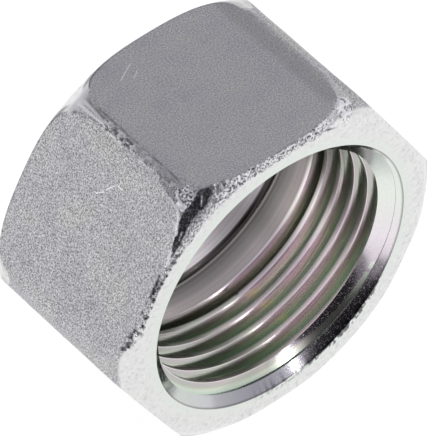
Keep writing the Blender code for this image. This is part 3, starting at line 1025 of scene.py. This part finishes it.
BORE_OUT, BORE_DEPTHS = 15.9, (0.01, 19.6)
LEAD_IN_DEPTH, LEAD_IN_SLOPES = 2.2, (0.66, 0.76)
RIM_OUT, RIM_DEPTH = 14.9, 1.3
nut.data.materials.clear()
nut.data.materials.append(zinc_skin())
nut.data.materials.append(passivated_bore())
for face in nut.data.polygons:
    out = math.hypot(face.center.x, face.center.z - AXIS[2]) / MM
    below = (face.center.y + HEIGHT / 2.0) / MM
    in_bore = out < BORE_OUT and BORE_DEPTHS[0] < below < BORE_DEPTHS[1]
    slopes = LEAD_IN_SLOPES[0] < -face.normal.y < LEAD_IN_SLOPES[1]
    on_lead_in = below < LEAD_IN_DEPTH and slopes
    on_rim = below < RIM_DEPTH and out > RIM_OUT
    face.material_index = int(in_bore and not on_lead_in and not on_rim)
only(nut)
bpy.ops.object.shade_smooth_by_angle(angle=math.radians(28.0))
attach(nut, "root")
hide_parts("union_nut")

# The studio: a plain white floor that keeps a faint shadow, a pale surround with a dark doorway in
# front of the nut, and one tall soft lamp beside the doorway.
DOOR_SIDES = ((1.0, 0.12, 0.0), (-1.0, 0.80, 0.0), (0.0, 0.72, 1.0))
DOOR_TONE = (0.02, 0.02, 0.02, 1.0)
FRONT_TONES = ((0.0, (0.80, 0.80, 0.82)), (0.9, (0.42, 0.42, 0.45)))
BACK_TONES = (
    (0.0, (1.0, 1.0, 1.0)),
    (0.14, (1.0, 1.0, 1.0)),
    (0.5, (0.52, 0.52, 0.54)),
    (0.9, (0.44, 0.44, 0.47)),
)
FLOOR_DROP = 0.00005
FLOOR_TONE = (0.36, 0.36, 0.36, 1.0)
FLOOR_GLOW = 0.86
WHITE = (1.0, 1.0, 1.0, 1.0)
LAMP_SIZE = (0.07, 0.80)
LAMP_POWER = 1.6
LAMP_PLACE = Vector((0.27, -0.96, 0.36)) * 1.3


def doorway(tree, along, outside_it, inside_it, softness):
    """One value outside the dark doorway in front of the nut, and another inside it."""
    past = 0.0
    for side in DOOR_SIDES:
        beyond = vector_maths(tree, "DOT_PRODUCT", "Value", along, side)
        past = maths(tree, "MAXIMUM", past, between_values(tree, beyond, -softness, softness))
    return between_values(tree, past, 0.0, 1.0, inside_it, outside_it)


bpy.ops.object.select_all(action="DESELECT")
bpy.ops.mesh.primitive_plane_add(size=8.0, location=(0.0, 0.0, -FLOOR_DROP))
floor = bpy.context.object
floor.name = "floor"
floor_material = bpy.data.materials.new("white_floor")
floor_material.use_nodes = True
tree = floor_material.node_tree
diffuse = tree.nodes["Principled BSDF"]
diffuse.inputs["Base Color"].default_value = FLOOR_TONE
diffuse.inputs["Roughness"].default_value = 0.9
rays = node(tree, "ShaderNodeLightPath")
on_floor = node(tree, "ShaderNodeTexCoord").outputs["Object"]
forward = node(tree, "ShaderNodeSeparateXYZ", {0: on_floor}).outputs["Y"]
near_nut = between_values(tree, forward, -0.050, -0.070, 1.0, 0.0)
lit = maths(tree, "MAXIMUM", near_nut, doorway(tree, on_floor, 1.0, 0.0, 0.01))
mirrored = maths(tree, "MULTIPLY", rays.outputs["Is Glossy Ray"], lit)
seen = maths(tree, "MAXIMUM", rays.outputs["Is Camera Ray"], mirrored)
glow = node(tree, "ShaderNodeEmission", {"Strength": maths(tree, "MULTIPLY", seen, FLOOR_GLOW)})
both = node(tree, "ShaderNodeAddShader", {0: diffuse.outputs[0], 1: glow.outputs[0]})
tree.links.new(both.outputs[0], tree.nodes["Material Output"].inputs["Surface"])
floor.data.materials.append(floor_material)

world = bpy.data.worlds.new("surround")
bpy.context.scene.world = world
world.use_nodes = True
tree = world.node_tree
tree.nodes.clear()
sky = node(tree, "ShaderNodeTexCoord").outputs["Generated"]
sides = node(tree, "ShaderNodeSeparateXYZ", {0: sky})
front_wall = colours(tree, sides.outputs["Z"], FRONT_TONES)
back_wall = colours(tree, sides.outputs["Z"], BACK_TONES)
wall = blend(tree, between_values(tree, sides.outputs["Y"], 0.0, 0.6), front_wall, back_wall)
wall = blend(tree, doorway(tree, sky, 0.0, 1.0, 0.05), wall, DOOR_TONE)
surround = node(tree, "ShaderNodeBackground", {"Color": wall})
backdrop = node(tree, "ShaderNodeBackground", {"Color": WHITE})
rays = node(tree, "ShaderNodeLightPath")
feeds = {0: rays.outputs["Is Camera Ray"], 1: surround.outputs[0], 2: backdrop.outputs[0]}
shown = node(tree, "ShaderNodeMixShader", feeds)
node(tree, "ShaderNodeOutputWorld", {"Surface": shown.outputs[0]})

lamp_data = bpy.data.lights.new("strip", "AREA")
lamp_data.shape = "RECTANGLE"
lamp_data.size, lamp_data.size_y = LAMP_SIZE
lamp_data.energy = LAMP_POWER
lamp = bpy.data.objects.new("strip", lamp_data)
bpy.context.scene.collection.objects.link(lamp)
lamp.location = LAMP_PLACE
lamp.rotation_euler = (Vector(AXIS) - LAMP_PLACE).to_track_quat("-Z", "Y").to_euler()

# The camera, a long lens that looks down at the nut's mouth and at two of its flats, with the nut
# tilted in the frame as in the photograph. Its two directions were fitted to the nut's corners.
LENS = 559.1
CAMERA_AWAY = 0.658
TO_RIGHT = Vector((0.769, -0.6392, -0.0065))
TO_CAMERA = Vector((-0.4222, -0.5156, 0.7456))

camera_data = bpy.data.cameras.new("camera")
camera_data.lens = LENS
camera_data.sensor_width = 36.0
camera_data.clip_start = 0.05
camera_data.clip_end = 20.0
camera = bpy.data.objects.new("camera", camera_data)
bpy.context.scene.collection.objects.link(camera)
back = TO_CAMERA.normalized()
up = back.cross(TO_RIGHT.normalized()).normalized()
facing = Matrix((up.cross(back), up, back)).transposed().to_4x4()
camera.matrix_world = Matrix.Translation(Vector(AXIS) + back * CAMERA_AWAY) @ facing
bpy.context.scene.camera = camera
bpy.context.scene.view_settings.view_transform = "Standard"
